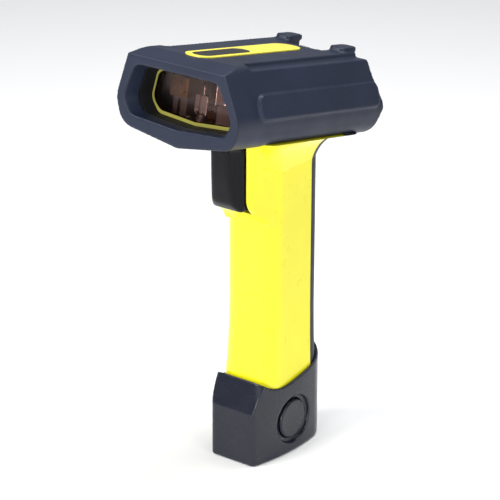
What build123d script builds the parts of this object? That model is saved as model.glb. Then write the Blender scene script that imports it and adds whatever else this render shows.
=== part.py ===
"""Cordless pistol-grip barcode scanner, as separate named pieces.

Frame: millimetres, +Z up, the scanner standing on its battery cap.  The origin is the
centre of the cap's flat bottom.  The nose points to -Y and the user's left hand side is +X.
"""

from build123d import *
import math
import os

# ---------------------------------------------------------------- driving dimensions
# Head: its long axis falls towards the rear by the pitch; its front face is vertical.
PITCH = 11.0
NOSE_Y = -70.0
REAR_Y = 46.0
WIDE_Z = 194.8  # height of the widest line at the nose
BOOT_WALL = 3.0
SHELL_WALL = 2.0
GAP = 0.1  # assembly clearance between separate mouldings

# Head cross-sections: half widths at the top, widest line and lower corner, then
# heights of the top, lower corner and keel measured from the widest line.
NOSE_SIZE = (27.0, 35.8, 32.8, 25.2, -13.0, -18.5)
REAR_SIZE = (28.1, 36.4, 33.4, 25.2, -13.0, -18.5)
OPENING_SIZE = (24.0, 31.8, 27.5, 17.6, -7.5, -9.6)
WINDOW_SIZE = (21.5, 25.9, 21.5, 15.5, -7.0, -8.8)
CORNER_RADII = (4.5, 14.0, 9.0)  # top, widest and lower corners
TUNNEL_RADII = (5.0, 7.0, 4.0)

PLATEAU_HALF = 22.0
LEDGE_DROP = 2.6
LEDGE_START_Y = -54.5
BROW_DROP = 3.2
BROW_END_Y = -58.0
BAND_START_Y = -53.0
BAND_HEIGHT = 12.0
BAND_PROUD = 1.9
REAR_LEAN = 9.0  # how far the top and the keel of the rear face lean forward

WINDOW_Y = -56.0  # front face of the scan window
WINDOW_THICK = 1.6
SHELL_FRONT_Y = -62.0
SHELL_REAR_Y = 36.5

# Handle: a rounded bar, with a yoke in front for the trigger and a flare up to the head.
HANDLE_RADIUS = 10.0
HANDLE_FRONT_Y = -17.5
HANDLE_REAR_Y = 25.5
HANDLE_HALF = 15.0
HANDLE_FOOT_Z = 30.0
HANDLE_STRAIGHT_Z = 84.0
NECK_LOW_Z = 150.0
NECK_TOP_DROP = 12.5  # flare's upper edge below the widest line
NECK_TOP_HALF = 33.5
NECK_TOP_FRONT = 28.5  # distances behind the nose, along the head
NECK_TOP_REAR = 106.0
YOKE_FRONT_Y = -30.5
YOKE_FRONT_HALF = 12.0
YOKE_BACK_Y = -10.0  # the cheeks end here, inside the handle
YOKE_SIDE_Y = -6.0
YOKE_REAR_Y = -2.0
YOKE_CUT_Z = 112.0
YOKE_LOW_Z = 133.0
REACH = 240.0  # longer than the whole scanner
REAR_ZONE_Y = 15.5  # the rubber spine and the boot's heel cover what is behind this
RUBBER_FIT = 0.75  # room between the rubber and the housing behind it
RUBBER_DEPTH = 2.2

# Battery cap, the black foot of the handle.
CAP_FRONT_Y = -28.3
CAP_REAR_Y = 31.6
CAP_FRONT_HALF = 12.9
CAP_HALF = 17.6
CAP_SHOULDER_Z = 26.5
CAP_FLOOR = 3.0

# Latch buttons, one in each side of the cap.
BUTTON_Z = 17.3
BUTTON_R = 10.0
BUTTON_RING_R = 12.6
BUTTON_FACE_X = 16.9

# Battery pack.
PACK_HALF = 9.6
PACK_FRONT_Y = -12.0
PACK_REAR_Y = 20.0
PACK_LOW_Z = 36.0
PACK_TOP_Z = 108.0
PACK_FOOT_HALF = 6.5
CELL_R = 7.0
CELL_LENGTH = 65.0

# Trigger.
TRIGGER_FRONT_Y = -38.6
TRIGGER_LOW_Z = 134.5
TRIGGER_TOP_Z = 168.0
TRIGGER_FRONT_HALF = 4.8
TRIGGER_HALF = 9.4
POCKET_HALF = 10.0
POCKET_BACK_Y = -17.0
PIVOT_Y = -26.0
PIVOT_Z = 161.0
PIVOT_R = 1.5
RUNNING_GAP = 0.05

# Scan engine, placed by distance behind the nose and height above the widest line.
ENGINE_FRONT = 21.6
ENGINE_REAR = 52.0
ENGINE_HALF = 20.5
ENGINE_FLOOR = -9.6
MIRROR_X = -5.0
MIRROR_DEPTH = 27.0
MIRROR_SHAFT_R = 0.8

BOARD_FRONT = 57.0
BOARD_REAR = 100.0
BOARD_HALF = 22.0
BOARD_HEIGHT = 1.0
BOARD_THICK = 1.6

SCREW_PLACES = ((10.0, 122.5), (10.0, 148.0))  # (Y, Z) of the case screws
SCREW_SHANK_R = 1.2
SCREW_HEAD_R = 2.3
SCREW_HEAD_X = -11.6

HEAD_LENGTH = (REAR_Y - NOSE_Y) / math.cos(math.radians(PITCH))
HORN_DEPTH = 105.5
HORN_RISE = 1.8
SLOPE_START_Y = 26.0
SLOPE_LOW = 18.0
LENS_PLACES = ((-2.5, 3.0), (5.5, 1.6))  # (x, radius) of the status lenses
LENS_BACK = -4.5
LABEL_DEPTH = 47.0
LABEL_LENGTH = 80.0
LABEL_WIDTH = 15.0
LABEL_THICK = 0.5
SPINE_LOW_Z = 34.0
BORDER_SIZE = (20.6, 24.9, 20.4, 14.6, -5.2, -7.0)
POST_HEIGHT = 4.6
MIRROR_WIDTH = 7.0
MIRROR_HEIGHT = 9.0
TRIGGER_WAIST_Y = -31.5
TRIGGER_BACK_Y = -22.5
SWITCH_Z = 144.0
PLUNGER_R = 1.2
CELL_LOW_Z = 41.0
CAP_TOP_Z = 47.0
CAP_WELL_HALF = 13.4
SEAL_LOW_Z = 28.6
RING_FLOOR_X = 15.3
FLANGE_X = 11.4
CHARGE_Y = -17.5
CHARGE_R = 1.4

os.makedirs("parts", exist_ok=True)


def finish(builder, label):
    """Name a finished piece and write it."""
    builder.part.label = label
    export_step(builder.part, f"parts/{label}.step")


# ---------------------------------------------------------------- shared shapes
def wide_z(y):
    """Height of the head's widest line at a distance along the scanner."""
    return WIDE_Z - (y - NOSE_Y) * math.tan(math.radians(PITCH))


def upright_plane(y):
    """A vertical plane across the head, with its origin on the widest line."""
    return Plane(origin=(0, y, wide_z(y)), x_dir=(1, 0, 0), z_dir=(0, -1, 0))


def head_plane(depth, height=0.0, x=0.0):
    """A plane square to the head's own upright axis; its local Y runs to the rear."""
    lean = math.radians(PITCH)
    y = NOSE_Y + depth * math.cos(lean) + height * math.sin(lean)
    z = WIDE_Z - depth * math.sin(lean) + height * math.cos(lean)
    return Plane(origin=(x, y, z), x_dir=(1, 0, 0), z_dir=(0, math.sin(lean), math.cos(lean)))


def cross_plane(depth, height=0.0, x=0.0):
    """A plane across the head's long axis; its normal points to the nose."""
    return Plane(head_plane(depth, height, x).origin, x_dir=(1, 0, 0), z_dir=-head_plane(0).y_dir)


def head_face(y, size, inset=0.0, radii=CORNER_RADII):
    """One cross-section of the head: flat top, sides leaning out, rounded keel."""
    top_half, wide_half, low_half, top, low, keel = size
    side = [(top_half, top), (wide_half, 0), (low_half, low)]
    mirrored = [(-x, z) for x, z in reversed(side)]
    with BuildSketch(upright_plane(y)) as section:
        with BuildLine():
            Polyline(*side, (0, keel), *mirrored, close=True)
        make_face()
        if inset:
            offset(amount=-inset, kind=Kind.INTERSECTION)
        rows = [row[0].Y for row in section.vertices().group_by(Axis.Y)[1:]]
        for height, radius in zip(rows, reversed(radii)):
            row = section.vertices().filter_by(lambda v, h=height: abs(v.Y - h) < 0.01)
            fillet(row, max(radius - inset, 1.5))
    return section.sketch


def head_size_at(y):
    """Cross-section sizes part of the way from the nose to the rear."""
    share = (y - NOSE_Y) / (REAR_Y - NOSE_Y)
    return tuple(a + (b - a) * share for a, b in zip(NOSE_SIZE, REAR_SIZE))


def head_slice(inset, front_y, rear_y):
    """The head's solid shape between two upright planes."""
    with BuildPart() as block:
        loft(sections=[head_face(y, head_size_at(y), inset) for y in (front_y, rear_y)], ruled=True)
    return block.part


def head_block(inset, front_y, rear_y):
    """The head between two upright planes, with its rear face rounded back."""
    with BuildPart() as block:
        add(head_slice(inset, front_y, rear_y))
        # the rear face leans forward above and below the widest line
        with BuildSketch(Plane.YZ) as rear_shape:
            middle = wide_z(rear_y) + 1.0
            lean = REAR_LEAN - 0.3 * inset
            with BuildLine():
                Polyline(
                    (front_y - 1, middle - 60),
                    (rear_y - 24, middle - 60),
                    (rear_y - lean - 11, middle - 21 + inset),
                    (rear_y - lean + 1, middle - 15),
                    (rear_y, middle),
                    (rear_y - 4, middle + 15),
                    (rear_y - lean, middle + 60),
                    (front_y - 1, middle + 60),
                    close=True,
                )
            make_face()
            rear_most = rear_shape.vertices().sort_by(Axis.X)[-1]
            fillet(rear_most, 5.0)
        extrude(to_extrude=rear_shape.sketch, amount=60, both=True, mode=Mode.INTERSECT)
    return block.part


def tilted_plane(z, lean):
    """A plane across the handle that leans down to the rear by an angle."""
    angle = math.radians(lean)
    return Plane(origin=(0, 0, z), x_dir=(1, 0, 0), z_dir=(0, math.sin(angle), math.cos(angle)))


def bar_face(plane, front, rear, half, radius, grow):
    """A rounded rectangle across the handle."""
    with BuildSketch(plane) as section:
        with Locations((0, (front + rear) / 2)):
            RectangleRounded(2 * (half + grow), rear - front + 2 * grow, radius + grow)
    return section.sketch


def half_bar_face(plane, front, rear, half, radius, grow):
    """The +X half of a rounded rectangle across the handle."""
    corners = ((0, front - grow), (half + grow, front - grow), (half + grow, rear + grow), (0, rear + grow))
    with BuildSketch(plane) as section:
        with BuildLine():
            Polyline(*corners, close=True)
        make_face()
        fillet(section.vertices().group_by(Axis.X)[-1], radius + grow)
    return section.sketch


def handle_block(grow, section=bar_face):
    """The handle and its flare up to the head, grown or shrunk all round."""
    front, rear, half, radius = HANDLE_FRONT_Y, HANDLE_REAR_Y, HANDLE_HALF, HANDLE_RADIUS
    foot = tilted_plane(HANDLE_FOOT_Z, 0)
    straight = tilted_plane(HANDLE_STRAIGHT_Z, 0)
    with BuildPart() as block:
        lower = [
            section(foot, front - 3.6, rear + 0.6, half + 1.0, radius, grow),
            section(tilted_plane(56.0, 0), front - 0.9, rear, half + 0.3, radius, grow),
            section(straight, front, rear, half, radius, grow),
        ]
        loft(sections=lower)
        middle = section(straight, front, rear, half, radius, grow)
        extrude(to_extrude=middle, amount=NECK_LOW_Z - HANDLE_STRAIGHT_Z)
        # flare from the handle up to the underside of the head
        crest = head_plane(0).offset(-NECK_TOP_DROP)
        neck = [
            section(tilted_plane(NECK_LOW_Z, 0), front, rear, half, radius, grow),
            section(tilted_plane(160.0, 7), front - 4.5, rear + 1.5, half + 3.5, radius - 1, grow),
            section(crest, NECK_TOP_FRONT, NECK_TOP_REAR, NECK_TOP_HALF, radius - 2, grow),
        ]
        loft(sections=neck)
    return block.part


def yoke_block():
    """The cheeks that reach forward below the head, either side of the trigger."""
    drop = NECK_TOP_DROP / math.cos(math.radians(PITCH))
    plan = [(YOKE_FRONT_HALF, YOKE_FRONT_Y), (HANDLE_HALF, YOKE_SIDE_Y), (HANDLE_HALF, YOKE_REAR_Y)]
    with BuildPart() as block:
        with BuildSketch(Plane.XY.offset(YOKE_CUT_Z)) as outline:
            with BuildLine():
                Polyline(*plan, *[(-x, y) for x, y in reversed(plan)], close=True)
            make_face()
            fillet(outline.vertices(), 3.6)
        extrude(to_extrude=outline.sketch, amount=72)
        with BuildSketch(Plane.YZ) as side:
            with BuildLine():
                heel = (HANDLE_FRONT_Y + 1.5, 123.0)
                lip = (HANDLE_FRONT_Y - 4.6, YOKE_LOW_Z - 3.0)
                chin = (YOKE_FRONT_Y, YOKE_LOW_Z + 10.0)
                Spline(heel, lip, chin, tangents=((-0.2, 1), (0, 1)))
                crest = (YOKE_FRONT_Y, wide_z(YOKE_FRONT_Y) - drop)
                back = (YOKE_BACK_Y, wide_z(YOKE_BACK_Y) - drop)
                Polyline(chin, crest, back, (YOKE_BACK_Y, 123), heel)
            make_face()
        extrude(to_extrude=side.sketch, amount=20, both=True, mode=Mode.INTERSECT)
    return block.part


def rear_zone(reach):
    """The space behind the slanted line where black rubber covers the handle and neck."""
    with BuildPart() as zone:
        with BuildSketch(Plane.YZ) as side:
            start = REAR_ZONE_Y
            with BuildLine():
                edge = ((start, 0), (start, 148), (start + 3, 170), (start + 3, 230))
                Polyline(*edge, (90, 230), (90, 0), close=True)
            make_face()
        extrude(to_extrude=side.sketch, amount=reach, both=True)
    return zone.part


outer_handle = handle_block(0.0)
rear_space = rear_zone(60)


def cap_rim_tool():
    """Everything above the cap's curved upper rim."""
    low_front = (-40, 47)
    rim_points = ((-22.0, 43.0), (-13.5, 38.3), (3.0, 38.8), (16.0, 41.5), (29.5, 46.5))
    with BuildPart() as tool:
        with BuildSketch(Plane.YZ) as side:
            with BuildLine():
                Line(low_front, rim_points[0])
                rim = Spline(*rim_points)
                Polyline(rim @ 1, (45, 50), (45, 90), (-40, 90), low_front)
            make_face()
        extrude(to_extrude=side.sketch, amount=40, both=True)
    return tool.part


def tunnel(grow, front_y, rear_y):
    """The scan tunnel that narrows from the nose opening to the window."""
    span = WINDOW_Y - NOSE_Y

    def size_at(y):
        share = (y - NOSE_Y) / span
        return tuple(a + (b - a) * share for a, b in zip(OPENING_SIZE, WINDOW_SIZE))

    with BuildPart() as hole:
        faces = [head_face(y, size_at(y), -grow, TUNNEL_RADII) for y in (front_y, rear_y)]
        loft(sections=faces, ruled=True)
    return hole.part


def band_plane():
    """The leaning side face of the head, with its local X to the rear and Y up the side."""
    back = head_plane(0).y_dir
    rise = Vector(NOSE_SIZE[0] - NOSE_SIZE[1], 0, NOSE_SIZE[3]).normalized()
    return Plane(origin=(NOSE_SIZE[1], NOSE_Y, WIDE_Z), x_dir=back, z_dir=back.cross(rise))


def head_box(x_range, depth_range, height_range):
    """A block placed by side, distance behind the nose and height above the widest line."""
    middle = (sum(x_range) / 2, sum(depth_range) / 2)
    with BuildPart() as block:
        with BuildSketch(head_plane(0).offset(height_range[0])):
            with Locations(middle):
                Rectangle(x_range[1] - x_range[0], depth_range[1] - depth_range[0])
        extrude(amount=height_range[1] - height_range[0])
    return block.part


def coil(base, axis, radius, wire_r, length, turns):
    """A helical spring that starts at a point and runs along an axis."""
    with BuildPart() as spring:
        with BuildLine():
            path = Helix(length / turns, length, radius, center=base, direction=axis)
        with BuildSketch(Plane(origin=path @ 0, z_dir=path % 0)):
            Circle(wire_r)
        sweep(path=path, is_frenet=True)
    return spring.part


# ---------------------------------------------------------------- head boot
with BuildPart() as head_boot:
    add(head_block(0.0, NOSE_Y, REAR_Y))
    # brow: the top falls to the front edge
    with BuildSketch(Plane.YZ) as brow:
        top = NOSE_SIZE[3]
        with BuildLine():
            high = (BROW_END_Y, wide_z(BROW_END_Y) + top)
            low = (NOSE_Y - 1, wide_z(NOSE_Y) + top - BROW_DROP)
            Polyline(high, low, (NOSE_Y - 1, 240), (BROW_END_Y, 240), close=True)
        make_face()
    extrude(to_extrude=brow.sketch, amount=50, both=True, mode=Mode.SUBTRACT)
    # ledges either side of the plateau
    step_depth = (LEDGE_START_Y - NOSE_Y) / math.cos(math.radians(PITCH))
    with BuildSketch(head_plane(0).offset(NOSE_SIZE[3] - LEDGE_DROP)) as ledge:
        for side in (1, -1):
            with Locations((side * (PLATEAU_HALF + 10), step_depth + 60)):
                RectangleRounded(20, 120, 3.0)
    extrude(to_extrude=ledge.sketch, amount=10, mode=Mode.SUBTRACT)
    # raised side bands along the widest line
    band_start = BAND_START_Y - NOSE_Y
    band_length = HEAD_LENGTH - 5.0 - band_start
    with BuildSketch(band_plane()) as band:
        with Locations((band_start + band_length / 2, BAND_HEIGHT / 2 + 0.6)):
            RectangleRounded(band_length, BAND_HEIGHT, 4.0)
    left_band = extrude(to_extrude=band.sketch, amount=BAND_PROUD, both=True)
    mirror(left_band, about=Plane.YZ)
    # horns that guard the status lenses, and the slope between them
    with BuildSketch(head_plane(0).offset(NOSE_SIZE[3] - 1)) as horns:
        for side in (1, -1):
            with Locations((side * 16.0, HORN_DEPTH)):
                RectangleRounded(9.0, 13.0, 3.0)
    extrude(to_extrude=horns.sketch, amount=HORN_RISE + 1)
    with BuildSketch(Plane.YZ) as slope:
        with BuildLine():
            foot = (REAR_Y + 2, wide_z(REAR_Y) + SLOPE_LOW)
            crown = (SLOPE_START_Y, wide_z(SLOPE_START_Y) + NOSE_SIZE[3])
            Polyline(crown, foot, (REAR_Y + 2, 240), (SLOPE_START_Y, 240), close=True)
        make_face()
    extrude(to_extrude=slope.sketch, amount=PLATEAU_HALF - 10.5, both=True, mode=Mode.SUBTRACT)
    # inside: the shell, the tunnel and the open underside around the neck
    add(head_block(BOOT_WALL, SHELL_FRONT_Y - GAP, SHELL_REAR_Y + GAP), mode=Mode.SUBTRACT)
    add(tunnel(0, NOSE_Y - 2, WINDOW_Y), mode=Mode.SUBTRACT)
    crest = head_plane(0).offset(GAP - NECK_TOP_DROP)
    underside = bar_face(crest, NECK_TOP_FRONT, NECK_TOP_REAR, NECK_TOP_HALF, HANDLE_RADIUS - 2, GAP)
    extrude(to_extrude=underside, amount=-40, mode=Mode.SUBTRACT)
    # seats for the label and the status lenses
    with BuildSketch(head_plane(0).offset(NOSE_SIZE[3] - LABEL_THICK)) as label_seat:
        with Locations((0, LABEL_DEPTH)):
            SlotOverall(LABEL_LENGTH + 0.4, LABEL_WIDTH + 0.4, rotation=90)
    extrude(to_extrude=label_seat.sketch, amount=2, mode=Mode.SUBTRACT)
    lens_slope = Plane(origin=(0, (crown[0] + foot[0]) / 2, (crown[1] + foot[1]) / 2), x_dir=(1, 0, 0),
                       z_dir=(0, crown[1] - foot[1], foot[0] - crown[0]))
    with BuildSketch(lens_slope) as lens_holes:
        for x, radius in LENS_PLACES:
            with Locations((x, LENS_BACK)):
                Circle(radius + GAP)
    extrude(to_extrude=lens_holes.sketch, amount=-2.2, mode=Mode.SUBTRACT)
finish(head_boot, "head_boot")

with BuildPart() as status_lenses:
    with BuildSketch(lens_slope.offset(-2.1)):
        for x, radius in LENS_PLACES:
            with Locations((x, LENS_BACK)):
                Circle(radius)
    extrude(amount=2.9)
    fillet(status_lenses.edges().filter_by(GeomType.CIRCLE).group_by(Axis.Z)[-1], 0.6)
finish(status_lenses, "status_lenses")

with BuildPart() as top_label:
    with BuildSketch(head_plane(0).offset(NOSE_SIZE[3] - LABEL_THICK)):
        with Locations((0, LABEL_DEPTH)):
            SlotOverall(LABEL_LENGTH, LABEL_WIDTH, rotation=90)
    extrude(amount=LABEL_THICK)
finish(top_label, "top_label")

# ---------------------------------------------------------------- grip spine
with BuildPart() as grip_spine:
    add(outer_handle & rear_space)
    split(bisect_by=tilted_plane(SPINE_LOW_Z, 0), keep=Keep.TOP)
    add(handle_block(-RUBBER_DEPTH), mode=Mode.SUBTRACT)
finish(grip_spine, "grip_spine")

# ---------------------------------------------------------------- housing halves
inner_inset = BOOT_WALL + GAP + SHELL_WALL
with BuildPart() as shell_half:
    add(handle_block(0.0, half_bar_face))
    add(rear_space, mode=Mode.SUBTRACT)
    with BuildPart(mode=Mode.PRIVATE) as under_rubber:
        add(handle_block(-RUBBER_DEPTH - RUBBER_FIT, half_bar_face))
        add(rear_space, mode=Mode.INTERSECT)
    add(under_rubber.part)
    with BuildPart(mode=Mode.PRIVATE) as cheek:
        add(yoke_block())
        with BuildSketch(Plane.YZ) as keep_side:
            Rectangle(2 * REACH, 2 * REACH)
        extrude(to_extrude=keep_side.sketch, amount=NECK_TOP_HALF, mode=Mode.INTERSECT)
    add(cheek.part)
    add(handle_block(-RUBBER_DEPTH - GAP - SHELL_WALL, half_bar_face), mode=Mode.SUBTRACT)
    # trigger pocket, with its floor above the finger lip
    with BuildSketch(Plane.XY.offset(YOKE_LOW_Z - 0.5)) as pocket:
        with Locations((0, (POCKET_BACK_Y + NOSE_Y) / 2)):
            Rectangle(2 * POCKET_HALF, POCKET_BACK_Y - NOSE_Y)
    extrude(to_extrude=pocket.sketch, amount=TRIGGER_TOP_Z + 1.0 - YOKE_LOW_Z, mode=Mode.SUBTRACT)
    # holes for the trigger pin and the switch plunger
    with BuildSketch(Plane.YZ) as pin_hole:
        with Locations((PIVOT_Y, PIVOT_Z)):
            Circle(PIVOT_R + 0.02)
    extrude(to_extrude=pin_hole.sketch, amount=YOKE_FRONT_HALF - 0.6, mode=Mode.SUBTRACT)
    with BuildSketch(Plane.XZ.offset(-POCKET_BACK_Y + 1)) as plunger_hole:
        with Locations((0, SWITCH_Z)):
            Circle(PLUNGER_R + 0.2)
    extrude(to_extrude=plunger_hole.sketch, amount=-8, mode=Mode.SUBTRACT)
    # screw bosses across the handle, above the battery
    for y, z in SCREW_PLACES:
        with BuildSketch(Plane.YZ) as boss:
            with Locations((y, z)):
                Circle(3.4)
        extrude(to_extrude=boss.sketch, amount=HANDLE_HALF - 2.5)

for label, mirrored in (("housing_left", False), ("housing_right", True)):
    with BuildPart() as half_shell:
        add(mirror(shell_half.part, about=Plane.YZ) if mirrored else shell_half.part)
        for y, z in SCREW_PLACES:
            with BuildSketch(Plane.YZ.offset(SCREW_HEAD_X)) as shank_hole:
                with Locations((y, z)):
                    Circle(SCREW_SHANK_R + 0.02)
            extrude(to_extrude=shank_hole.sketch, amount=20, mode=Mode.SUBTRACT)
            with BuildSketch(Plane.YZ.offset(SCREW_HEAD_X)) as head_hole:
                with Locations((y, z)):
                    Circle(SCREW_HEAD_R + 0.1)
            extrude(to_extrude=head_hole.sketch, amount=-8, mode=Mode.SUBTRACT)
    finish(half_shell, label)

with BuildPart() as housing_screws:
    for y, z in SCREW_PLACES:
        with BuildSketch(Plane.YZ.offset(SCREW_HEAD_X)) as shank:
            with Locations((y, z)):
                Circle(SCREW_SHANK_R)
        extrude(to_extrude=shank.sketch, amount=19)
        with BuildSketch(Plane.YZ.offset(SCREW_HEAD_X)) as screw_head:
            with Locations((y, z)):
                Circle(SCREW_HEAD_R)
                RegularPolygon(1.1, 6, mode=Mode.SUBTRACT)
        extrude(to_extrude=screw_head.sketch, amount=-1.6)
finish(housing_screws, "housing_screws")

# ---------------------------------------------------------------- head frame, hood, window
with BuildPart() as head_frame:
    add(head_block(BOOT_WALL + GAP, SHELL_FRONT_Y, SHELL_REAR_Y))
    add(head_block(inner_inset, SHELL_FRONT_Y - 1, SHELL_REAR_Y - SHELL_WALL), mode=Mode.SUBTRACT)
    extrude(to_extrude=underside, amount=-40, mode=Mode.SUBTRACT)
    extrude(to_extrude=lens_holes.sketch, amount=-8, mode=Mode.SUBTRACT)
finish(head_frame, "head_frame")

with BuildPart() as hood_liner:
    liner_rear_y = WINDOW_Y + 4.0
    add(head_slice(inner_inset + GAP, SHELL_FRONT_Y, liner_rear_y))
    add(tunnel(0, NOSE_Y, WINDOW_Y), mode=Mode.SUBTRACT)
    add(tunnel(1.2, WINDOW_Y, liner_rear_y + 1), mode=Mode.SUBTRACT)
finish(hood_liner, "hood_liner")

with BuildPart() as scan_window:
    add(tunnel(1.0, WINDOW_Y + 0.05, WINDOW_Y + WINDOW_THICK))
finish(scan_window, "scan_window")

with BuildPart() as window_border:
    add(tunnel(-0.15, WINDOW_Y - 0.12, WINDOW_Y + 0.04))
    clear_view = [head_face(y, BORDER_SIZE, 0, TUNNEL_RADII) for y in (WINDOW_Y - 1, WINDOW_Y + 1)]
    loft(sections=clear_view, ruled=True, mode=Mode.SUBTRACT)
finish(window_border, "window_border")

with BuildPart() as window_seal:
    add(tunnel(1.0, WINDOW_Y + WINDOW_THICK + 0.02, WINDOW_Y + WINDOW_THICK + 1.4))
    add(tunnel(-1.6, WINDOW_Y, WINDOW_Y + 5), mode=Mode.SUBTRACT)
finish(window_seal, "window_seal")

# ---------------------------------------------------------------- scan engine
with BuildPart() as engine_chassis:
    floor_z = (ENGINE_FLOOR, ENGINE_FLOOR + 1.6)
    add(head_box((-ENGINE_HALF, ENGINE_HALF), (ENGINE_FRONT, ENGINE_REAR), floor_z))
    add(head_box((-ENGINE_HALF, ENGINE_HALF), (ENGINE_REAR - 1.6, ENGINE_REAR), (ENGINE_FLOOR, 12)))
    for side in (1, -1):
        wall_x = sorted((side * ENGINE_HALF, side * (ENGINE_HALF - 1.6)))
        add(head_box(wall_x, (ENGINE_FRONT + 14, ENGINE_REAR), (ENGINE_FLOOR, 6)))
    # post that carries the scan mirror's shaft
    with BuildSketch(head_plane(MIRROR_DEPTH).offset(ENGINE_FLOOR)) as post:
        with Locations((MIRROR_X, 0)):
            Circle(2.6)
    extrude(to_extrude=post.sketch, amount=POST_HEIGHT)
    with BuildSketch(head_plane(MIRROR_DEPTH).offset(ENGINE_FLOOR)) as shaft_hole:
        with Locations((MIRROR_X, 0)):
            Circle(MIRROR_SHAFT_R)
    extrude(to_extrude=shaft_hole.sketch, amount=POST_HEIGHT + 1, mode=Mode.SUBTRACT)
finish(engine_chassis, "engine_chassis")

with BuildPart() as mirror_shaft:
    with BuildSketch(head_plane(MIRROR_DEPTH).offset(ENGINE_FLOOR + 0.4)):
        with Locations((MIRROR_X, 0)):
            Circle(MIRROR_SHAFT_R)
    extrude(amount=17.6)
finish(mirror_shaft, "mirror_shaft")

hub_low = ENGINE_FLOOR + POST_HEIGHT + 0.2
with BuildPart() as scan_mirror:
    with BuildSketch(head_plane(MIRROR_DEPTH).offset(hub_low)):
        with Locations((MIRROR_X, 0)):
            Circle(2.2)
        with Locations((MIRROR_X, -1.3)):
            Rectangle(MIRROR_WIDTH, 1.4)
    extrude(amount=MIRROR_HEIGHT)
    with BuildSketch(head_plane(MIRROR_DEPTH).offset(hub_low)) as bore:
        with Locations((MIRROR_X, 0)):
            Circle(MIRROR_SHAFT_R + RUNNING_GAP)
    extrude(to_extrude=bore.sketch, amount=MIRROR_HEIGHT, mode=Mode.SUBTRACT)
finish(scan_mirror, "scan_mirror")

with BuildPart() as mirror_magnet:
    magnet_x = (MIRROR_X - 1.5, MIRROR_X + 1.5)
    add(head_box(magnet_x, (MIRROR_DEPTH + 2.3, MIRROR_DEPTH + 4.3), (hub_low + 1.5, hub_low + 5.5)))
finish(mirror_magnet, "mirror_magnet")

with BuildPart() as drive_coil:
    coil_x = (MIRROR_X - 4, MIRROR_X + 4)
    add(head_box(coil_x, (MIRROR_DEPTH + 7, MIRROR_DEPTH + 12), (ENGINE_FLOOR + 1.6, hub_low + 6)))
    with BuildSketch(cross_plane(MIRROR_DEPTH + 6.5, hub_low + 3, MIRROR_X)) as core_hole:
        Circle(1.2)
    extrude(to_extrude=core_hole.sketch, amount=-3, mode=Mode.SUBTRACT)
finish(drive_coil, "drive_coil")

with BuildPart() as laser_module:
    add(head_box((-22, -12), (23, 34), (1.5, 10.5)))
    with BuildSketch(cross_plane(23.0, 6.0, -17.0)) as barrel:
        Circle(3.2)
    extrude(to_extrude=barrel.sketch, amount=1.5)
    with BuildSketch(cross_plane(21.5, 6.0, -17.0)) as aperture:
        Circle(1.2)
    extrude(to_extrude=aperture.sketch, amount=-3.0, mode=Mode.SUBTRACT)
finish(laser_module, "laser_module")

with BuildPart() as laser_mount:
    for x_range in ((-20.4, -17.9), (-16.1, -12.4)):
        add(head_box(x_range, (24, 33), (ENGINE_FLOOR + 1.6, 1.5)))
finish(laser_mount, "laser_mount")

with BuildPart() as collector_mirror:
    with BuildSketch(head_plane(0).offset(0.5)):
        with BuildLine():
            start, end = (1.0, 28.0), (19.0, 32.0)
            ThreePointArc(start, (10.5, 32.6), end)
            Line(end, (18.8, 34.2))
            ThreePointArc((18.8, 34.2), (10.2, 34.8), (0.2, 30.2))
            Line((0.2, 30.2), start)
        make_face()
    extrude(amount=11)
finish(collector_mirror, "collector_mirror")

with BuildPart() as mirror_bracket:
    add(head_box((2, 18), (28.5, 36), (ENGINE_FLOOR + 1.6, 0.5)))
finish(mirror_bracket, "mirror_bracket")

with BuildPart() as detector_board:
    add(head_box((2, 18), (46, 47.4), (ENGINE_FLOOR + 1.6, 11)))
finish(detector_board, "detector_board")

with BuildPart() as photodiode:
    add(head_box((7.5, 12.5), (44.4, 46), (2, 7)))
finish(photodiode, "photodiode")

with BuildPart() as engine_screws:
    for x, depth in ((-10.3, 24.0), (18.6, 24.0)):
        with BuildSketch(head_plane(depth).offset(ENGINE_FLOOR + 1.6)) as engine_screw:
            with Locations((x, 0)):
                Circle(1.5)
                RegularPolygon(0.7, 6, mode=Mode.SUBTRACT)
        extrude(to_extrude=engine_screw.sketch, amount=1.4)
finish(engine_screws, "engine_screws")

# ---------------------------------------------------------------- electronics in the head
board_top = BOARD_HEIGHT + BOARD_THICK
with BuildPart() as main_board:
    add(head_box((-BOARD_HALF, BOARD_HALF), (BOARD_FRONT, BOARD_REAR), (BOARD_HEIGHT, board_top)))
finish(main_board, "main_board")

with BuildPart() as board_chips:
    for x, depth, size in ((-11.0, 68.0, 10.0), (6.0, 66.0, 7.0), (14.0, 76.0, 5.0)):
        half = size / 2
        add(head_box((x - half, x + half), (depth - half, depth + half), (board_top, board_top + 1.2)))
finish(board_chips, "board_chips")

with BuildPart() as radio_module:
    add(head_box((-18, 0), (82, 96), (board_top, board_top + 2.4)))
finish(radio_module, "radio_module")

with BuildPart() as radio_antenna:
    with BuildSketch(head_plane(0).offset(board_top)):
        with Locations((9, 94)):
            Rectangle(12, 3)
        with Locations((4, 90.5)):
            Rectangle(2, 4)
    extrude(amount=0.8)
finish(radio_antenna, "radio_antenna")

with BuildPart() as beeper:
    with BuildSketch(head_plane(76).offset(BOARD_HEIGHT)):
        with Locations((13, 0)):
            Circle(5.5)
    extrude(amount=-4.2)
    with BuildSketch(head_plane(76).offset(BOARD_HEIGHT - 4.2)) as sound_hole:
        with Locations((13, 0)):
            Circle(0.9)
    extrude(to_extrude=sound_hole.sketch, amount=2, mode=Mode.SUBTRACT)
finish(beeper, "beeper")

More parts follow.
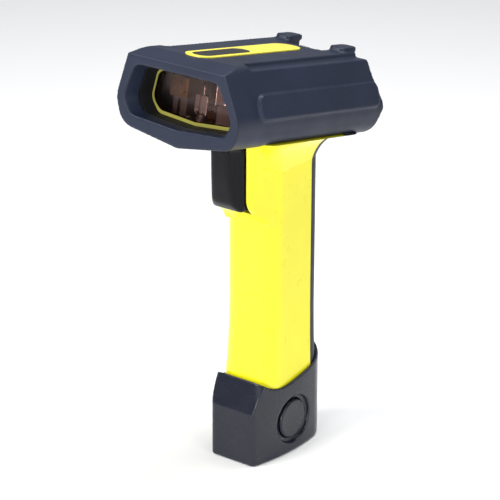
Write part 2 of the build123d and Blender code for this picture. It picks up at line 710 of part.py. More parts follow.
with BuildPart() as engine_ribbon:
    ribbon_z = (board_top, board_top + 0.3)
    add(head_box((-16, -6), (ENGINE_REAR + 0.1, BOARD_FRONT + 4), ribbon_z))
    add(head_box((-16, -6), (ENGINE_REAR + 0.1, ENGINE_REAR + 0.4), (-4, ribbon_z[1])))
finish(engine_ribbon, "engine_ribbon")

# ---------------------------------------------------------------- trigger group
with BuildPart() as trigger:
    with BuildSketch(Plane.XY.offset(TRIGGER_LOW_Z)) as trigger_plan:
        with BuildLine():
            nose = (TRIGGER_FRONT_HALF, TRIGGER_FRONT_Y)
            side = [nose, (TRIGGER_HALF, TRIGGER_WAIST_Y), (TRIGGER_HALF, TRIGGER_BACK_Y)]
            Polyline(*side, *[(-x, y) for x, y in reversed(side)], close=True)
        make_face()
    extrude(to_extrude=trigger_plan.sketch, amount=TRIGGER_TOP_Z - TRIGGER_LOW_Z)
    fillet(trigger.edges().filter_by(Axis.Z).group_by(Axis.Y)[0], 1.2)
    with BuildSketch(Plane.YZ) as trigger_side:
        with BuildLine():
            Polyline(
                (TRIGGER_BACK_Y, TRIGGER_LOW_Z),
                (TRIGGER_FRONT_Y + 6.5, TRIGGER_LOW_Z),
                (TRIGGER_FRONT_Y + 3.0, TRIGGER_LOW_Z + 4.5),
                (TRIGGER_FRONT_Y + 1.0, 152),
                (TRIGGER_FRONT_Y, TRIGGER_TOP_Z),
                (TRIGGER_BACK_Y, TRIGGER_TOP_Z),
                close=True,
            )
        make_face()
        fillet(trigger_side.vertices().group_by(Axis.Y)[1], 3.0)
    extrude(to_extrude=trigger_side.sketch, amount=20, both=True, mode=Mode.INTERSECT)
    # hollow behind the finger face
    with BuildSketch(Plane.XY.offset(TRIGGER_LOW_Z + 2)) as hollow:
        with Locations((0, (TRIGGER_WAIST_Y + TRIGGER_BACK_Y) / 2 + 0.5)):
            Rectangle(2 * (TRIGGER_HALF - 1.6), TRIGGER_BACK_Y - TRIGGER_WAIST_Y + 1.5)
    extrude(to_extrude=hollow.sketch, amount=TRIGGER_TOP_Z - TRIGGER_LOW_Z - 4, mode=Mode.SUBTRACT)
    # pivot tube
    with BuildSketch(Plane.YZ) as tube:
        with Locations((PIVOT_Y, PIVOT_Z)):
            Circle(2.6)
    extrude(to_extrude=tube.sketch, amount=TRIGGER_HALF, both=True)
    with BuildSketch(Plane.YZ) as tube_bore:
        with Locations((PIVOT_Y, PIVOT_Z)):
            Circle(PIVOT_R + RUNNING_GAP)
    extrude(to_extrude=tube_bore.sketch, amount=TRIGGER_HALF + 1, both=True, mode=Mode.SUBTRACT)
finish(trigger, "trigger")

with BuildPart() as trigger_pin:
    with BuildSketch(Plane.YZ):
        with Locations((PIVOT_Y, PIVOT_Z)):
            Circle(PIVOT_R)
    extrude(amount=YOKE_FRONT_HALF - 0.8, both=True)
finish(trigger_pin, "trigger_pin")

with BuildPart() as trigger_spring:
    spring_start = (0, TRIGGER_BACK_Y - 4.5, 152.0)
    add(coil(spring_start, (0, 1, 0), 2.4, 0.35, POCKET_BACK_Y - TRIGGER_BACK_Y + 4.0, 5))
finish(trigger_spring, "trigger_spring")

with BuildPart() as trigger_switch:
    with BuildSketch(Plane.XZ.offset(12.6)) as switch_body:
        with Locations((0, SWITCH_Z)):
            Rectangle(6, 6)
    extrude(to_extrude=switch_body.sketch, amount=-3.4)
    with BuildSketch(Plane.XZ.offset(12.6)) as plunger:
        with Locations((0, SWITCH_Z)):
            Circle(PLUNGER_R)
    extrude(to_extrude=plunger.sketch, amount=5.2)
finish(trigger_switch, "trigger_switch")

with BuildPart() as trigger_board:
    with BuildSketch(Plane.XZ.offset(9.2)):
        with Locations((0, SWITCH_Z + 1)):
            Rectangle(17, 16)
    extrude(amount=-1.4)
finish(trigger_board, "trigger_board")

with BuildPart() as contact_block:
    with BuildSketch(Plane.XY.offset(PACK_TOP_Z + 2.5)) as block_plan:
        with Locations((0, 4)):
            RectangleRounded(16, 14, 1)
    extrude(to_extrude=block_plan.sketch, amount=5)
finish(contact_block, "contact_block")

with BuildPart() as contact_pins:
    with BuildSketch(Plane.XY.offset(PACK_TOP_Z + 0.1)):
        with Locations((0, 4)):
            with GridLocations(3.6, 0, 4, 1):
                Circle(0.7)
    extrude(amount=2.4)
finish(contact_pins, "contact_pins")

# ---------------------------------------------------------------- battery pack
with BuildPart() as battery_contacts:
    with BuildSketch(Plane.XY.offset(PACK_TOP_Z - 0.4)):
        with Locations((0, 4)):
            with GridLocations(3.6, 0, 4, 1):
                Rectangle(2.6, 5)
    extrude(amount=0.4)
finish(battery_contacts, "battery_contacts")

with BuildPart() as battery_case:
    with BuildSketch(Plane.XY.offset(PACK_LOW_Z)) as pack_plan:
        with Locations((0, (PACK_FRONT_Y + PACK_REAR_Y) / 2)):
            RectangleRounded(2 * PACK_HALF, PACK_REAR_Y - PACK_FRONT_Y, 4.5)
    extrude(to_extrude=pack_plan.sketch, amount=PACK_TOP_Z - PACK_LOW_Z)
    with BuildSketch(Plane.XY.offset(CELL_LOW_Z)) as cell_wells:
        with Locations((0, (PACK_FRONT_Y + PACK_REAR_Y) / 2)):
            with GridLocations(0, 2 * CELL_R + 0.6, 1, 2):
                Circle(CELL_R + 0.1)
    extrude(to_extrude=cell_wells.sketch, amount=CELL_LENGTH + 0.2, mode=Mode.SUBTRACT)
    # foot that stands on the cap's floor between the latch springs
    with BuildSketch(Plane.XY.offset(CAP_FLOOR)) as pack_foot:
        with Locations((0, (PACK_FRONT_Y + PACK_REAR_Y) / 2)):
            Rectangle(2 * PACK_FOOT_HALF, PACK_REAR_Y - PACK_FRONT_Y - 4)
    extrude(to_extrude=pack_foot.sketch, amount=PACK_LOW_Z - CAP_FLOOR)
    add(battery_contacts.part, mode=Mode.SUBTRACT)
finish(battery_case, "battery_case")

with BuildPart() as battery_cells:
    with BuildSketch(Plane.XY.offset(CELL_LOW_Z + 0.1)):
        with Locations((0, (PACK_FRONT_Y + PACK_REAR_Y) / 2)):
            with GridLocations(0, 2 * CELL_R + 0.6, 1, 2):
                Circle(CELL_R)
    extrude(amount=CELL_LENGTH)
    fillet(battery_cells.edges().filter_by(GeomType.CIRCLE), 0.8)
finish(battery_cells, "battery_cells")

# battery cap: straight foot, bevel up to the handle, curved rim
with BuildPart() as battery_cap:
    with BuildSketch(Plane.XY) as cap_plan:
        with BuildLine():
            front_left = (-CAP_FRONT_HALF, CAP_FRONT_Y)
            front_right = (CAP_FRONT_HALF, CAP_FRONT_Y)
            rear_right = (CAP_HALF - 0.9, CAP_REAR_Y - 13.5)
            rear_left = (0.9 - CAP_HALF, CAP_REAR_Y - 13.5)
            Line(front_left, front_right)
            ThreePointArc(front_right, (CAP_HALF, 0), rear_right)
            ThreePointArc(rear_right, (0, CAP_REAR_Y), rear_left)
            ThreePointArc(rear_left, (-CAP_HALF, 0), front_left)
        make_face()
        fillet(cap_plan.vertices().group_by(Axis.Y)[0], 2.6)
        fillet(cap_plan.vertices().group_by(Axis.Y)[-1], 4.0)
    extrude(to_extrude=cap_plan.sketch, amount=CAP_TOP_Z)
    shoulder = [
        bar_face(tilted_plane(-1, 0), CAP_FRONT_Y - 0.5, CAP_REAR_Y - 2.6, CAP_HALF + 2, 4, 0),
        bar_face(tilted_plane(CAP_SHOULDER_Z, 0), CAP_FRONT_Y - 0.5, CAP_REAR_Y - 0.4, CAP_HALF + 2, 4, 0),
    ]
    rim_face = bar_face(tilted_plane(CAP_TOP_Z, 0), -20.6, CAP_REAR_Y, 17.2, HANDLE_RADIUS + 1, 0)
    upper = loft(sections=[shoulder[1], rim_face], ruled=True, mode=Mode.PRIVATE)
    lower = loft(sections=shoulder, ruled=True, mode=Mode.PRIVATE)
    add(lower + upper, mode=Mode.INTERSECT)
    add(cap_rim_tool(), mode=Mode.SUBTRACT)
    # socket for the handle's foot, and the well below it
    add(handle_block(GAP), mode=Mode.SUBTRACT)
    with BuildSketch(Plane.XY.offset(CAP_FLOOR)) as well:
        with Locations((0, 2.0)):
            RectangleRounded(2 * CAP_WELL_HALF, 42, 6)
    extrude(to_extrude=well.sketch, amount=HANDLE_FOOT_Z - CAP_FLOOR, mode=Mode.SUBTRACT)
    with BuildSketch(Plane.XY.offset(SEAL_LOW_Z)) as seal_seat:
        seat_front, seat_rear = HANDLE_FRONT_Y - 3.2, HANDLE_REAR_Y + 0.2
        add(bar_face(Plane.XY, seat_front, seat_rear, HANDLE_HALF + 0.6, HANDLE_RADIUS, 0))
    extrude(to_extrude=seal_seat.sketch, amount=HANDLE_FOOT_Z - SEAL_LOW_Z + 0.2, mode=Mode.SUBTRACT)
    # round latch windows with a sunken ring round each button
    for side in (1, -1):
        with BuildSketch(Plane.YZ.offset(side * RING_FLOOR_X)) as ring:
            with Locations((0, BUTTON_Z)):
                Circle(BUTTON_RING_R)
        extrude(to_extrude=ring.sketch, amount=side * 6, mode=Mode.SUBTRACT)
        with BuildSketch(Plane.YZ.offset(side * (CAP_WELL_HALF - 1))) as button_hole:
            with Locations((0, BUTTON_Z)):
                Circle(BUTTON_R + 0.3)
        extrude(to_extrude=button_hole.sketch, amount=side * 8, mode=Mode.SUBTRACT)
    # wells for the charging contacts
    with BuildSketch(Plane.XY) as contact_wells:
        with Locations((0, CHARGE_Y)):
            with GridLocations(4.2, 0, 4, 1):
                Circle(CHARGE_R)
    extrude(to_extrude=contact_wells.sketch, amount=CAP_FLOOR, mode=Mode.SUBTRACT)
    chamfer(battery_cap.faces().sort_by(Axis.Z)[0].outer_wire().edges(), 0.6)
finish(battery_cap, "battery_cap")

with BuildPart() as charge_contacts:
    with BuildSketch(Plane.XY.offset(0.3)):
        with Locations((0, CHARGE_Y)):
            with GridLocations(4.2, 0, 4, 1):
                Circle(CHARGE_R)
    extrude(amount=CAP_FLOOR - 0.3)
finish(charge_contacts, "charge_contacts")

with BuildPart() as pack_board:
    with BuildSketch(Plane.XY.offset(CAP_FLOOR)):
        with Locations((0, CHARGE_Y + 1.5)):
            Rectangle(17, 5.4)
    extrude(amount=1.2)
finish(pack_board, "pack_board")

with BuildPart() as battery_seal:
    seal_plane = tilted_plane(SEAL_LOW_Z, 0)
    front, rear = HANDLE_FRONT_Y - 3.1, HANDLE_REAR_Y + 0.1
    seal_face = bar_face(seal_plane, front, rear, HANDLE_HALF + 0.5, HANDLE_RADIUS, 0)
    extrude(to_extrude=seal_face, amount=HANDLE_FOOT_Z - SEAL_LOW_Z - 0.1)
    inner_face = bar_face(seal_plane, front + 2, rear - 2, HANDLE_HALF - 1.5, HANDLE_RADIUS - 2, 0)
    extrude(to_extrude=inner_face, amount=5, mode=Mode.SUBTRACT)
finish(battery_seal, "battery_seal")

# latch buttons: dished disc, flange inside the wall, spring seat and catch arm
for side, name in ((1, "left"), (-1, "right")):
    with BuildPart() as latch_button:
        flange_x = FLANGE_X
        with BuildSketch(Plane.YZ.offset(side * flange_x)) as disc:
            with Locations((0, BUTTON_Z)):
                Circle(BUTTON_R)
        extrude(to_extrude=disc.sketch, amount=side * (BUTTON_FACE_X - flange_x))
        outer_edges = latch_button.edges().filter_by(GeomType.CIRCLE).sort_by(Axis.X)
        fillet(outer_edges[-1] if side > 0 else outer_edges[0], 1.2)
        with BuildSketch(Plane.YZ.offset(side * flange_x)) as flange:
            with Locations((0, BUTTON_Z)):
                Circle(BUTTON_R + 1.4)
        extrude(to_extrude=flange.sketch, amount=side * 1.4)
        with BuildSketch(Plane.YZ.offset(side * flange_x)) as arm:
            with Locations((0, BUTTON_Z + 9)):
                Rectangle(8, 14)
        extrude(to_extrude=arm.sketch, amount=-side * 1.3)
    finish(latch_button, f"latch_button_{name}")
    with BuildPart() as latch_spring:
        start = (side * (PACK_FOOT_HALF + 0.4), 0, BUTTON_Z - 2)
        add(coil(start, (side, 0, 0), 2.6, 0.35, FLANGE_X - PACK_FOOT_HALF - 0.8, 3.5))
    finish(latch_spring, f"latch_spring_{name}")
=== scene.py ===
"""Looks for the cordless pistol-grip barcode scanner: materials, small mesh details, light and camera."""

import math

import bmesh
import bpy
from mathutils import Matrix, Vector


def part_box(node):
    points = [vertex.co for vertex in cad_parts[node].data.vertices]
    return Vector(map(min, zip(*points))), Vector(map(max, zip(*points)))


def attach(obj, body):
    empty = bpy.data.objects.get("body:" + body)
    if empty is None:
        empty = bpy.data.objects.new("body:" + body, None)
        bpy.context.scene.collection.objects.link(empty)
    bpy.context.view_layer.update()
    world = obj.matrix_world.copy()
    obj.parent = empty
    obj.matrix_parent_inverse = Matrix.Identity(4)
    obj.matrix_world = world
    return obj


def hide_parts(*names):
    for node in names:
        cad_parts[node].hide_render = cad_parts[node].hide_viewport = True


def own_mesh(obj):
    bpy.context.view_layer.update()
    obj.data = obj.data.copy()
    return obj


MM = 0.001
PITCH = math.radians(11.0)
NOSE = Vector((0.0, -70.0, 194.8)) * MM  # where the head's widest line meets the nose

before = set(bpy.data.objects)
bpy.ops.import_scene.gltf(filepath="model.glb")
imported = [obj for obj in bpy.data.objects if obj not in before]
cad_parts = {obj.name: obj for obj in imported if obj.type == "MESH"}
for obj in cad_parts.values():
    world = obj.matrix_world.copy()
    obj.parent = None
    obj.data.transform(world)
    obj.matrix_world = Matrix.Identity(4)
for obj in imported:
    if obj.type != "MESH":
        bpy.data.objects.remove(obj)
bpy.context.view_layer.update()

# ---------------------------------------------------------------- node helpers


def link(tree, source, target):
    tree.links.new(source, target)


def value_node(tree, kind, **settings):
    node = tree.nodes.new(kind)
    for key, value in settings.items():
        setattr(node, key, value)
    return node


def noise(tree, place, scale, detail=3.0, rough=0.55, stretch=None):
    node = tree.nodes.new("ShaderNodeTexNoise")
    node.inputs["Scale"].default_value = scale
    node.inputs["Detail"].default_value = detail
    node.inputs["Roughness"].default_value = rough
    if stretch:
        mapping = tree.nodes.new("ShaderNodeMapping")
        mapping.inputs["Scale"].default_value = stretch
        link(tree, place, mapping.inputs["Vector"])
        place = mapping.outputs["Vector"]
    link(tree, place, node.inputs["Vector"])
    return node.outputs["Fac"]


def ramp(tree, source, low, high, out_low=0.0, out_high=1.0):
    node = tree.nodes.new("ShaderNodeMapRange")
    node.inputs["From Min"].default_value = low
    node.inputs["From Max"].default_value = high
    node.inputs["To Min"].default_value = out_low
    node.inputs["To Max"].default_value = out_high
    link(tree, source, node.inputs["Value"])
    return node.outputs["Result"]


def maths(tree, operation, a, b):
    node = value_node(tree, "ShaderNodeMath", operation=operation)
    for index, item in enumerate((a, b)):
        if isinstance(item, (int, float)):
            node.inputs[index].default_value = item
        else:
            link(tree, item, node.inputs[index])
    return node.outputs[0]


def mix_colour(tree, factor, a, b):
    node = value_node(tree, "ShaderNodeMix", data_type="RGBA")
    link(tree, factor, node.inputs[0])
    for socket, item in ((node.inputs[6], a), (node.inputs[7], b)):
        if isinstance(item, tuple):
            socket.default_value = (*item, 1.0)
        else:
            link(tree, item, socket)
    return node.outputs[2]


def edge_mask(tree, round_normal):
    """0 on open faces and towards 1 on sharp edges."""
    geometry = tree.nodes.new("ShaderNodeNewGeometry")
    dot = value_node(tree, "ShaderNodeVectorMath", operation="DOT_PRODUCT")
    link(tree, round_normal, dot.inputs[0])
    link(tree, geometry.outputs["Normal"], dot.inputs[1])
    return ramp(tree, dot.outputs["Value"], 0.995, 0.88)


def surface(name, colour, second, rough, spread, grain, depth, **extra):
    """A procedural finish: mottled colour, uneven gloss, fine grain and worn edges."""
    material = bpy.data.materials.new(name)
    material.use_nodes = True
    tree = material.node_tree
    shader = tree.nodes["Principled BSDF"]
    place = tree.nodes.new("ShaderNodeTexCoord").outputs["Object"]

    soft = tree.nodes.new("ShaderNodeBevel")
    soft.samples = 6
    soft.inputs["Radius"].default_value = extra.get("soften", 0.45) * MM

    cloud = noise(tree, place, extra.get("mottle", 28.0), 4.0, 0.6, extra.get("stretch"))
    base = mix_colour(tree, ramp(tree, cloud, 0.32, 0.7), colour, second)

    dust = noise(tree, place, 420.0, 5.0, 0.65)
    specks = ramp(tree, dust, 0.66, 0.78, 0.0, extra.get("dust", 0.10))
    base = mix_colour(tree, specks, base, extra.get("dust_colour", (0.45, 0.44, 0.42)))

    patchy = ramp(tree, noise(tree, place, 190.0, 4.0, 0.7), 0.42, 0.62)
    worn = maths(tree, "MULTIPLY", edge_mask(tree, soft.outputs["Normal"]), patchy)
    worn = maths(tree, "MULTIPLY", worn, extra.get("wear", 0.4))
    base = mix_colour(tree, worn, base, extra.get("wear_colour", second))
    link(tree, base, shader.inputs["Base Color"])

    gloss = ramp(tree, noise(tree, place, 70.0, 5.0, 0.65), 0.3, 0.7, rough - spread, rough + spread)
    gloss = maths(tree, "ADD", gloss, maths(tree, "MULTIPLY", worn, 0.15))
    link(tree, gloss, shader.inputs["Roughness"])

    fine = noise(tree, place, grain, 2.0, 0.5, extra.get("grain_stretch"))
    bump = tree.nodes.new("ShaderNodeBump")
    bump.inputs["Strength"].default_value = extra.get("bump", 0.5)
    bump.inputs["Distance"].default_value = depth * MM
    link(tree, fine, bump.inputs["Height"])
    link(tree, soft.outputs["Normal"], bump.inputs["Normal"])
    link(tree, bump.outputs["Normal"], shader.inputs["Normal"])

    shader.inputs["Metallic"].default_value = extra.get("metal", 0.0)
    shader.inputs["Specular IOR Level"].default_value = extra.get("spec", 0.35)
    shader.inputs["Coat Weight"].default_value = extra.get("coat", 0.0)
    shader.inputs["Coat Roughness"].default_value = extra.get("coat_rough", 0.12)
    shader.inputs["Subsurface Weight"].default_value = extra.get("glow", 0.0)
    shader.inputs["Subsurface Radius"].default_value = (0.004, 0.003, 0.001)
    shader.inputs["Subsurface Scale"].default_value = 1.0
    shader.inputs["Sheen Weight"].default_value = extra.get("sheen", 0.0)
    return material


def glass(name, tint, rough):
    """A thin tinted sheet: part see-through, part mirror, with smears and faint dust."""
    material = bpy.data.materials.new(name)
    material.use_nodes = True
    tree = material.node_tree
    tree.nodes.remove(tree.nodes["Principled BSDF"])
    place = tree.nodes.new("ShaderNodeTexCoord").outputs["Object"]
    smear = noise(tree, place, 45.0, 5.0, 0.7, (1.0, 1.0, 0.4))
    specks = ramp(tree, noise(tree, place, 900.0, 3.0, 0.6), 0.68, 0.76, 0.0, 0.25)

    clear = tree.nodes.new("ShaderNodeBsdfTransparent")
    deeper = tuple(channel * 0.86 for channel in tint)
    link(tree, mix_colour(tree, smear, tint, deeper), clear.inputs["Color"])
    shine = tree.nodes.new("ShaderNodeBsdfGlossy")
    link(tree, ramp(tree, smear, 0.35, 0.7, rough, rough + 0.12), shine.inputs["Roughness"])
    fresnel = tree.nodes.new("ShaderNodeFresnel")
    fresnel.inputs["IOR"].default_value = 1.5
    both = tree.nodes.new("ShaderNodeMixShader")
    link(tree, maths(tree, "MULTIPLY", fresnel.outputs["Fac"], 0.08), both.inputs[0])
    link(tree, clear.outputs["BSDF"], both.inputs[1])
    link(tree, shine.outputs["BSDF"], both.inputs[2])
    film = tree.nodes.new("ShaderNodeBsdfDiffuse")
    film.inputs["Color"].default_value = (0.35, 0.34, 0.33, 1.0)
    dusty = tree.nodes.new("ShaderNodeMixShader")
    link(tree, maths(tree, "MULTIPLY", specks, 0.12), dusty.inputs[0])
    link(tree, both.outputs["Shader"], dusty.inputs[1])
    link(tree, film.outputs["BSDF"], dusty.inputs[2])
    link(tree, dusty.outputs["Shader"], tree.nodes["Material Output"].inputs["Surface"])
    return material


# ---------------------------------------------------------------- finishes

rubber = surface(
    "boot_rubber", (0.0085, 0.0125, 0.028), (0.013, 0.018, 0.038), 0.45, 0.07, 2600.0, 0.05,
    bump=0.5, wear=0.3, wear_colour=(0.05, 0.055, 0.08), dust=0.03, soften=0.9, spec=0.28,
)
spine_rubber = surface(
    "spine_rubber", (0.007, 0.010, 0.022), (0.011, 0.015, 0.030), 0.5, 0.07, 2300.0, 0.06,
    bump=0.55, wear=0.3, wear_colour=(0.05, 0.055, 0.08), dust=0.03, soften=1.0,
)
cap_plastic = surface(
    "cap_plastic", (0.0055, 0.0075, 0.015), (0.009, 0.011, 0.021), 0.28, 0.05, 3000.0, 0.035,
    bump=0.4, wear=0.35, wear_colour=(0.05, 0.05, 0.065), dust=0.012, spec=0.42, soften=0.8,
)
button_plastic = surface(
    "button_plastic", (0.006, 0.008, 0.015), (0.010, 0.012, 0.021), 0.3, 0.05, 3000.0, 0.03,
    bump=0.4, wear=0.5, wear_colour=(0.05, 0.05, 0.065), dust=0.012, spec=0.4,
)
yellow = surface(
    "yellow_shell", (0.83, 0.77, 0.010), (0.79, 0.715, 0.008), 0.30, 0.05, 1900.0, 0.03,
    bump=0.3, wear=0.3, wear_colour=(0.72, 0.56, 0.02), dust=0.03, dust_colour=(0.5, 0.42, 0.12),
    coat=0.3, coat_rough=0.12, soften=0.6, spec=0.4,
)
trigger_gloss = surface(
    "trigger_plastic", (0.003, 0.003, 0.004), (0.006, 0.006, 0.008), 0.2, 0.04, 1500.0, 0.012,
    bump=0.25, wear=0.2, wear_colour=(0.03, 0.03, 0.035), spec=0.14, dust=0.01, soften=0.5,
)
hood_black = surface(
    "hood_plastic", (0.003, 0.003, 0.004), (0.006, 0.006, 0.007), 0.6, 0.08, 2600.0, 0.05,
    bump=0.6, wear=0.3, wear_colour=(0.03, 0.03, 0.033), dust=0.03, spec=0.2,
)
frame_plastic = surface(
    "frame_plastic", (0.030, 0.031, 0.036), (0.045, 0.046, 0.052), 0.5, 0.08, 2200.0, 0.04,
)
seal = surface(
    "seal_rubber", (0.004, 0.004, 0.005), (0.008, 0.008, 0.009), 0.5, 0.08, 2200.0, 0.03,
    dust=0.03, spec=0.25, soften=0.2,
)
label_film = surface(
    "label_film", (0.83, 0.72, 0.055), (0.78, 0.665, 0.05), 0.34, 0.06, 1400.0, 0.012,
    bump=0.3, wear=0.5, wear_colour=(0.62, 0.55, 0.2), coat=0.3, coat_rough=0.15, dust=0.05, soften=0.15,
)
label_ink = surface(
    "label_ink", (0.010, 0.010, 0.009), (0.020, 0.020, 0.018), 0.4, 0.06, 1600.0, 0.012,
    dust=0.06, soften=0.04, spec=0.3,
)
window_line = surface(
    "window_print", (0.34, 0.31, 0.06), (0.27, 0.25, 0.05), 0.5, 0.08, 2000.0, 0.01,
    dust=0.06, soften=0.04,
)
lens_grey = surface(
    "lens_grey", (0.16, 0.175, 0.19), (0.11, 0.12, 0.135), 0.22, 0.06, 900.0, 0.02,
    glow=0.3, coat=0.4, wear=0.3, wear_colour=(0.3, 0.31, 0.32),
)
steel = surface(
    "steel_bright", (0.50, 0.50, 0.52), (0.38, 0.38, 0.40), 0.30, 0.08, 1800.0, 0.012,
    metal=1.0, grain_stretch=(1.0, 1.0, 0.08), wear_colour=(0.65, 0.65, 0.66),
)
cast_metal = surface(
    "chassis_metal", (0.34, 0.34, 0.36), (0.25, 0.25, 0.27), 0.46, 0.1, 1600.0, 0.04,
    metal=0.9, wear_colour=(0.6, 0.6, 0.62),
)
brass = surface(
    "laser_brass", (0.46, 0.28, 0.075), (0.36, 0.20, 0.05), 0.34, 0.1, 1500.0, 0.015,
    metal=0.9, wear_colour=(0.7, 0.5, 0.2),
)
gold = surface(
    "contact_gold", (0.72, 0.48, 0.14), (0.58, 0.37, 0.10), 0.26, 0.08, 1500.0, 0.01,
    metal=1.0, wear_colour=(0.55, 0.5, 0.42),
)
copper = surface(
    "coil_copper", (0.42, 0.15, 0.05), (0.30, 0.09, 0.03), 0.34, 0.08, 900.0, 0.12,
    metal=0.8, bump=0.9, grain_stretch=(0.1, 0.1, 2.0), wear_colour=(0.6, 0.3, 0.15),
)
mirror = surface(
    "mirror_front", (0.86, 0.87, 0.90), (0.78, 0.80, 0.84), 0.06, 0.03, 700.0, 0.003,
    metal=1.0, bump=0.1, wear_colour=(0.5, 0.5, 0.52), dust=0.04,
)
solder_mask = surface(
    "board_green", (0.012, 0.095, 0.035), (0.008, 0.065, 0.025), 0.34, 0.07, 1200.0, 0.03,
    wear_colour=(0.3, 0.28, 0.18), dust=0.14,
)
chip = surface(
    "chip_black", (0.012, 0.012, 0.014), (0.022, 0.022, 0.025), 0.5, 0.08, 2400.0, 0.03, dust=0.12,
)
can = surface(
    "can_metal", (0.52, 0.53, 0.54), (0.42, 0.43, 0.45), 0.32, 0.08, 1300.0, 0.015,
    metal=1.0, wear_colour=(0.65, 0.65, 0.66),
)
amber = surface(
    "ribbon_amber", (0.48, 0.20, 0.03), (0.38, 0.15, 0.02), 0.3, 0.06, 1500.0, 0.015,
    wear_colour=(0.6, 0.35, 0.1),
)
pack_plastic = surface(
    "pack_plastic", (0.022, 0.022, 0.025), (0.034, 0.034, 0.038), 0.48, 0.08, 2300.0, 0.04,
    wear=0.5, wear_colour=(0.12, 0.12, 0.13),
)
cell_wrap = surface(
    "cell_wrap", (0.022, 0.085, 0.24), (0.016, 0.065, 0.19), 0.26, 0.07, 900.0, 0.02, coat=0.4,
)
window_glass = glass("window_tint", (0.84, 0.72, 0.68), 0.03)

FINISH = {
    "head_boot": rubber,
    "grip_spine": spine_rubber,
    "battery_cap": cap_plastic,
    "latch_button_left": button_plastic,
    "latch_button_right": button_plastic,
    "battery_seal": seal,
    "window_seal": seal,
    "housing_left": yellow,
    "housing_right": yellow,
    "head_frame": frame_plastic,
    "hood_liner": hood_black,
    "trigger": trigger_gloss,
    "top_label": label_film,
    "scan_window": window_glass,
    "window_border": window_line,
    "status_lenses": lens_grey,
    "trigger_switch": pack_plastic,
    "contact_block": pack_plastic,
    "battery_case": pack_plastic,
    "battery_cells": cell_wrap,
    "engine_chassis": cast_metal,
    "laser_mount": cast_metal,
    "mirror_bracket": cast_metal,
    "laser_module": brass,
    "collector_mirror": mirror,
    "scan_mirror": mirror,
    "mirror_magnet": can,
    "radio_module": can,
    "drive_coil": copper,
    "radio_antenna": gold,
    "contact_pins": gold,
    "battery_contacts": gold,
    "charge_contacts": gold,
    "board_chips": chip,
    "photodiode": chip,
    "beeper": chip,
    "engine_ribbon": amber,
    "main_board": solder_mask,
    "trigger_board": solder_mask,
    "pack_board": solder_mask,
    "detector_board": solder_mask,
    "housing_screws": steel,
    "engine_screws": steel,
    "trigger_pin": steel,
    "trigger_spring": steel,
    "latch_spring_left": steel,
    "latch_spring_right": steel,
    "mirror_shaft": steel,
}
SMOOTH_LIMIT = math.radians(32.0)

for node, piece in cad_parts.items():
    for material_slot in piece.material_slots:
        material_slot.material = FINISH[node]
    if not piece.material_slots:
        piece.data.materials.append(FINISH[node])
    piece.data.shade_smooth()
    piece.data.set_sharp_from_angle(angle=SMOOTH_LIMIT)
    even = piece.modifiers.new("even_shading", "WEIGHTED_NORMAL")
    even.keep_sharp = True

# moulded pieces have no sharp edges: their corners are rounded off by a fine remesh
ROUNDED_PIECES = (  # node, voxel size in mm, smoothing rounds
    ("trigger", 0.45, 90),
    ("head_boot", 0.55, 8),
    ("battery_cap", 0.45, 8),
)
for node, voxel, rounds in ROUNDED_PIECES:
    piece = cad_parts[node]
    piece.modifiers.clear()
    fine_mesh = piece.modifiers.new("fine_mesh", "REMESH")
    fine_mesh.mode = "VOXEL"
    fine_mesh.voxel_size = voxel * MM
    fine_mesh.use_smooth_shade = True
    rounded = piece.modifiers.new("rounded", "SMOOTH")
    rounded.factor = 0.5
    rounded.iterations = rounds

# ---------------------------------------------------------------- small mesh details


def head_point(x, depth, height):
    """A point given across the head, behind the nose along the top, and above the widest line (mm)."""
    back = Vector((0.0, math.cos(PITCH), -math.sin(PITCH)))
    up = Vector((0.0, math.sin(PITCH), math.cos(PITCH)))
    return NOSE + Vector((x, 0.0, 0.0)) * MM + back * depth * MM + up * height * MM


def mesh_piece(name, build, material, body):
    shape = bmesh.new()
    build(shape)
    bmesh.ops.recalc_face_normals(shape, faces=shape.faces)
    data = bpy.data.meshes.new(name)
    shape.to_mesh(data)
    shape.free()
    data.materials.append(material)
    data.shade_smooth()
    data.set_sharp_from_angle(angle=SMOOTH_LIMIT)
    piece = bpy.data.objects.new(name, data)
    bpy.context.scene.collection.objects.link(piece)
    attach(piece, body)
    return piece


def slot_outline(length, width, steps=14):
    """Points round a slot that runs along the second axis."""
    straight = (length - width) / 2
    points = []
    for end, sign in ((straight, 1), (-straight, -1)):
        for step in range(steps + 1):
            angle = math.pi * step / steps + (0 if sign > 0 else math.pi)
            points.append((width / 2 * math.cos(angle), end + width / 2 * math.sin(angle)))
    return points


def close_tube(shape, loops):
    """Joins loops of vertices into a tube and closes both ends."""
    for first, second in zip(loops, loops[1:]):
        for index in range(len(first)):
            follow = (index + 1) % len(first)
            shape.faces.new((first[index], first[follow], second[follow], second[index]))
    shape.faces.new(loops[-1])
    shape.faces.new(list(reversed(loops[0])))


def slot_tile(shape, centre_depth, length, width, height, thick):
    """A thin slot-shaped tile on the head's top (mm)."""
    outline = slot_outline(length, width)
    close_tube(shape, [
        [shape.verts.new(head_point(x, centre_depth + y, level)) for x, y in outline]
        for level in (height, height + thick)
    ])


PATCH_DEPTH = 29.5  # from the nose to the patch's middle (mm)
PATCH_LENGTH = 38.0
PATCH_WIDTH = 9.6
PATCH_HEIGHT = 25.15  # above the head's widest line
PATCH_THICK = 0.15
mesh_piece(
    "label_patch",
    lambda shape: slot_tile(shape, PATCH_DEPTH, PATCH_LENGTH, PATCH_WIDTH, PATCH_HEIGHT, PATCH_THICK),
    label_ink, "scanner",
)


STEPS_PER_TURN = 28
WIRE_SIDES = 10


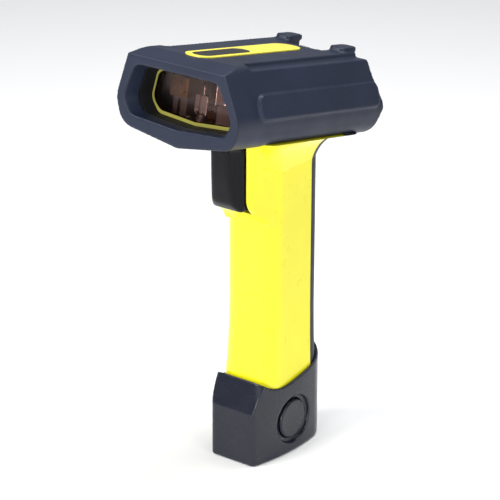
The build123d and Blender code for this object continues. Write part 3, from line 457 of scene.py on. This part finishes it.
def coil(shape, inner, outer, centre, radius, wire, turns):
    """A round-wire spring that runs along X from inner to outer."""
    steps = int(turns * STEPS_PER_TURN)
    sides = WIRE_SIDES
    loops = []
    for step in range(steps + 1):
        share = step / steps
        angle = 2 * math.pi * turns * share
        around = Vector((0.0, math.cos(angle), math.sin(angle)))
        spine = Vector((inner + (outer - inner) * share, centre[0], centre[1])) + around * radius
        loops.append([
            shape.verts.new(
                spine
                + around * wire * math.cos(2 * math.pi * side / sides)
                + Vector((wire * math.sin(2 * math.pi * side / sides), 0.0, 0.0))
            )
            for side in range(sides)
        ])
    close_tube(shape, loops)


WIRE = 0.35 * MM
COIL_RADIUS = 2.6 * MM
COIL_TURNS = 3.5
for hand, joint in (("left", "latch_left_press"), ("right", "latch_right_press")):
    low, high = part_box("latch_spring_" + hand)
    near, far = sorted((low.x, high.x), key=abs)
    toward = math.copysign(WIRE, far)
    middle = ((low.y + high.y) / 2, (low.z + high.z) / 2)
    spring = mesh_piece(
        "spring_coil_" + hand,
        lambda shape: coil(shape, near + toward, far - toward, middle, COIL_RADIUS, WIRE, COIL_TURNS),
        steel, "battery",
    )
    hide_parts("latch_spring_" + hand)
    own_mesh(spring)

# ---------------------------------------------------------------- floor, light, camera

FLOOR_HALF = 6.0
FLOOR_DROP = 0.0002  # keeps the floor from touching the cap's bottom
floor_mesh = bpy.data.meshes.new("floor")
floor_corners = [(x * FLOOR_HALF, y * FLOOR_HALF, 0.0) for x, y in ((-1, -1), (1, -1), (1, 1), (-1, 1))]
floor_mesh.from_pydata(floor_corners, [], [(0, 1, 2, 3)])
floor_mesh.materials.append(
    surface("studio_floor", (0.80, 0.80, 0.80), (0.78, 0.78, 0.785), 0.6, 0.05, 300.0, 0.02,
            bump=0.1, dust=0.0, wear=0.0, mottle=3.0)
)
floor = bpy.data.objects.new("floor", floor_mesh)
floor.location.z = -FLOOR_DROP
bpy.context.scene.collection.objects.link(floor)
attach(floor, "battery")  # the scanner stands on its battery, so the floor stays under it

WORLD_COLOUR = (0.93, 0.95, 1.0, 1.0)
WORLD_STRENGTH = 0.36
bpy.context.scene.view_settings.view_transform = "Standard"
world = bpy.context.scene.world or bpy.data.worlds.new("studio")
bpy.context.scene.world = world
world.use_nodes = True
backdrop = world.node_tree.nodes["Background"]
backdrop.inputs["Color"].default_value = WORLD_COLOUR
backdrop.inputs["Strength"].default_value = WORLD_STRENGTH


def softbox(name, place, target, size, power, colour=(1.0, 1.0, 1.0)):
    lamp = bpy.data.lights.new(name, "AREA")
    lamp.shape = "RECTANGLE"
    lamp.size, lamp.size_y = size
    lamp.energy = power
    lamp.color = colour
    holder = bpy.data.objects.new(name, lamp)
    holder.location = place
    aim = Vector(target) - Vector(place)
    holder.rotation_euler = aim.to_track_quat("-Z", "Y").to_euler()
    bpy.context.scene.collection.objects.link(holder)


softbox("key", (-0.35, -0.75, 0.95), (0.0, 0.0, 0.12), (0.55, 0.55), 14.0, (1.0, 0.99, 0.97))
softbox("fill", (1.0, -0.35, 0.45), (0.0, 0.0, 0.12), (0.5, 0.9), 5.0, (0.96, 0.98, 1.0))
softbox("front", (0.25, -1.25, 0.30), (0.0, -0.05, 0.19), (0.35, 0.25), 6.0)
softbox("top", (0.1, 0.25, 1.1), (0.0, -0.02, 0.15), (0.5, 0.5), 10.0)

TURN = math.radians(37.67)
TILT = math.radians(22.61)
DISTANCE = 1.218
LENS = 182.9  # mm, with a 36 mm sensor
SENSOR_WIDTH = 36.0
SHIFT = (0.0406, 0.032)
TARGET = Vector((0.0, -0.030, 0.105))
forward = Vector((-math.sin(TURN) * math.cos(TILT), math.cos(TURN) * math.cos(TILT), -math.sin(TILT)))
right = Vector((math.cos(TURN), math.sin(TURN), 0.0))
up = right.cross(forward)
camera_data = bpy.data.cameras.new("photo_camera")
camera_data.sensor_width = SENSOR_WIDTH
camera_data.lens = LENS
camera_data.shift_x, camera_data.shift_y = SHIFT
camera_data.clip_start = 0.05
camera_data.clip_end = 50.0
camera = bpy.data.objects.new("photo_camera", camera_data)
turn = Matrix((right, up, -forward)).transposed().to_4x4()
camera.matrix_world = Matrix.Translation(TARGET - forward * DISTANCE) @ turn
bpy.context.scene.collection.objects.link(camera)
bpy.context.scene.camera = camera
